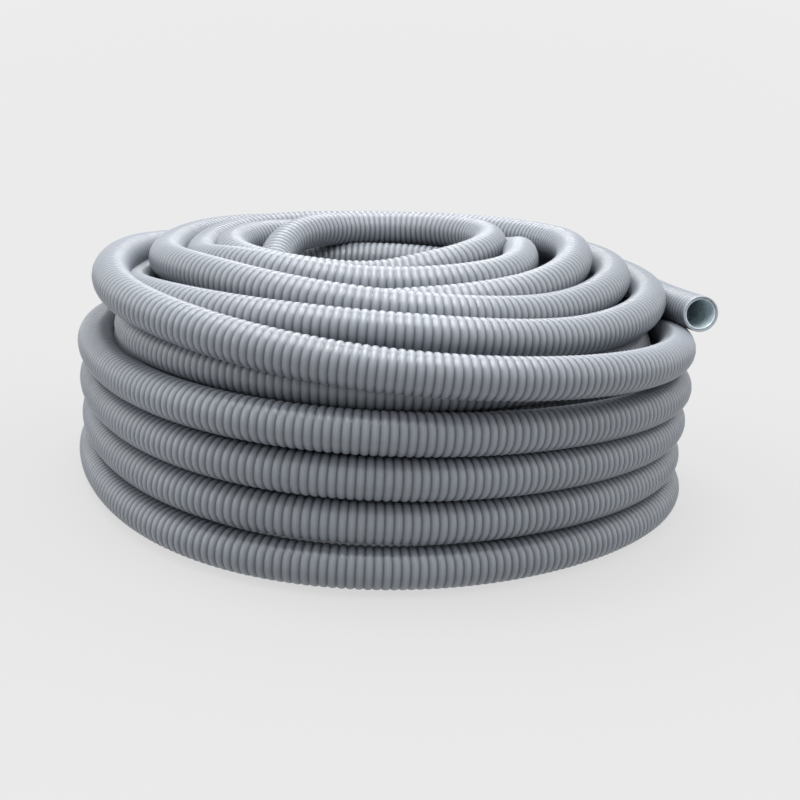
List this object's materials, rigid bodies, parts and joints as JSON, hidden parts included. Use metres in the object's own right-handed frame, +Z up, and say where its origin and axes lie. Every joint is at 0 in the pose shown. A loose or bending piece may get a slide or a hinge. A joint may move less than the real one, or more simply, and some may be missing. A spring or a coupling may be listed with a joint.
{
  "type": "liquidtight flexible conduit coil",
  "caption": "Coil of grey ribbed liquidtight flexible conduit with loose top turns and one cut end, for protecting electrical wiring.",
  "frame": {"origin": "on the floor, under the middle of the coil's box", "axes": "+Z up along the coil's axis, -Y towards the viewer and out of the cut end, +X to the side where the cut end lies"},
  "size_m": [0.4925, 0.4769, 0.1908],
  "materials": {
    "jacket": "satin grey PVC",
    "core": "zinc-coated strip"
  },
  "bodies": {
    "root": {"wound_body": "jacket", "top_turns": "jacket", "outer_turn": "jacket", "free_end": "jacket", "steel_core": "core"}
  },
  "joints": []
}
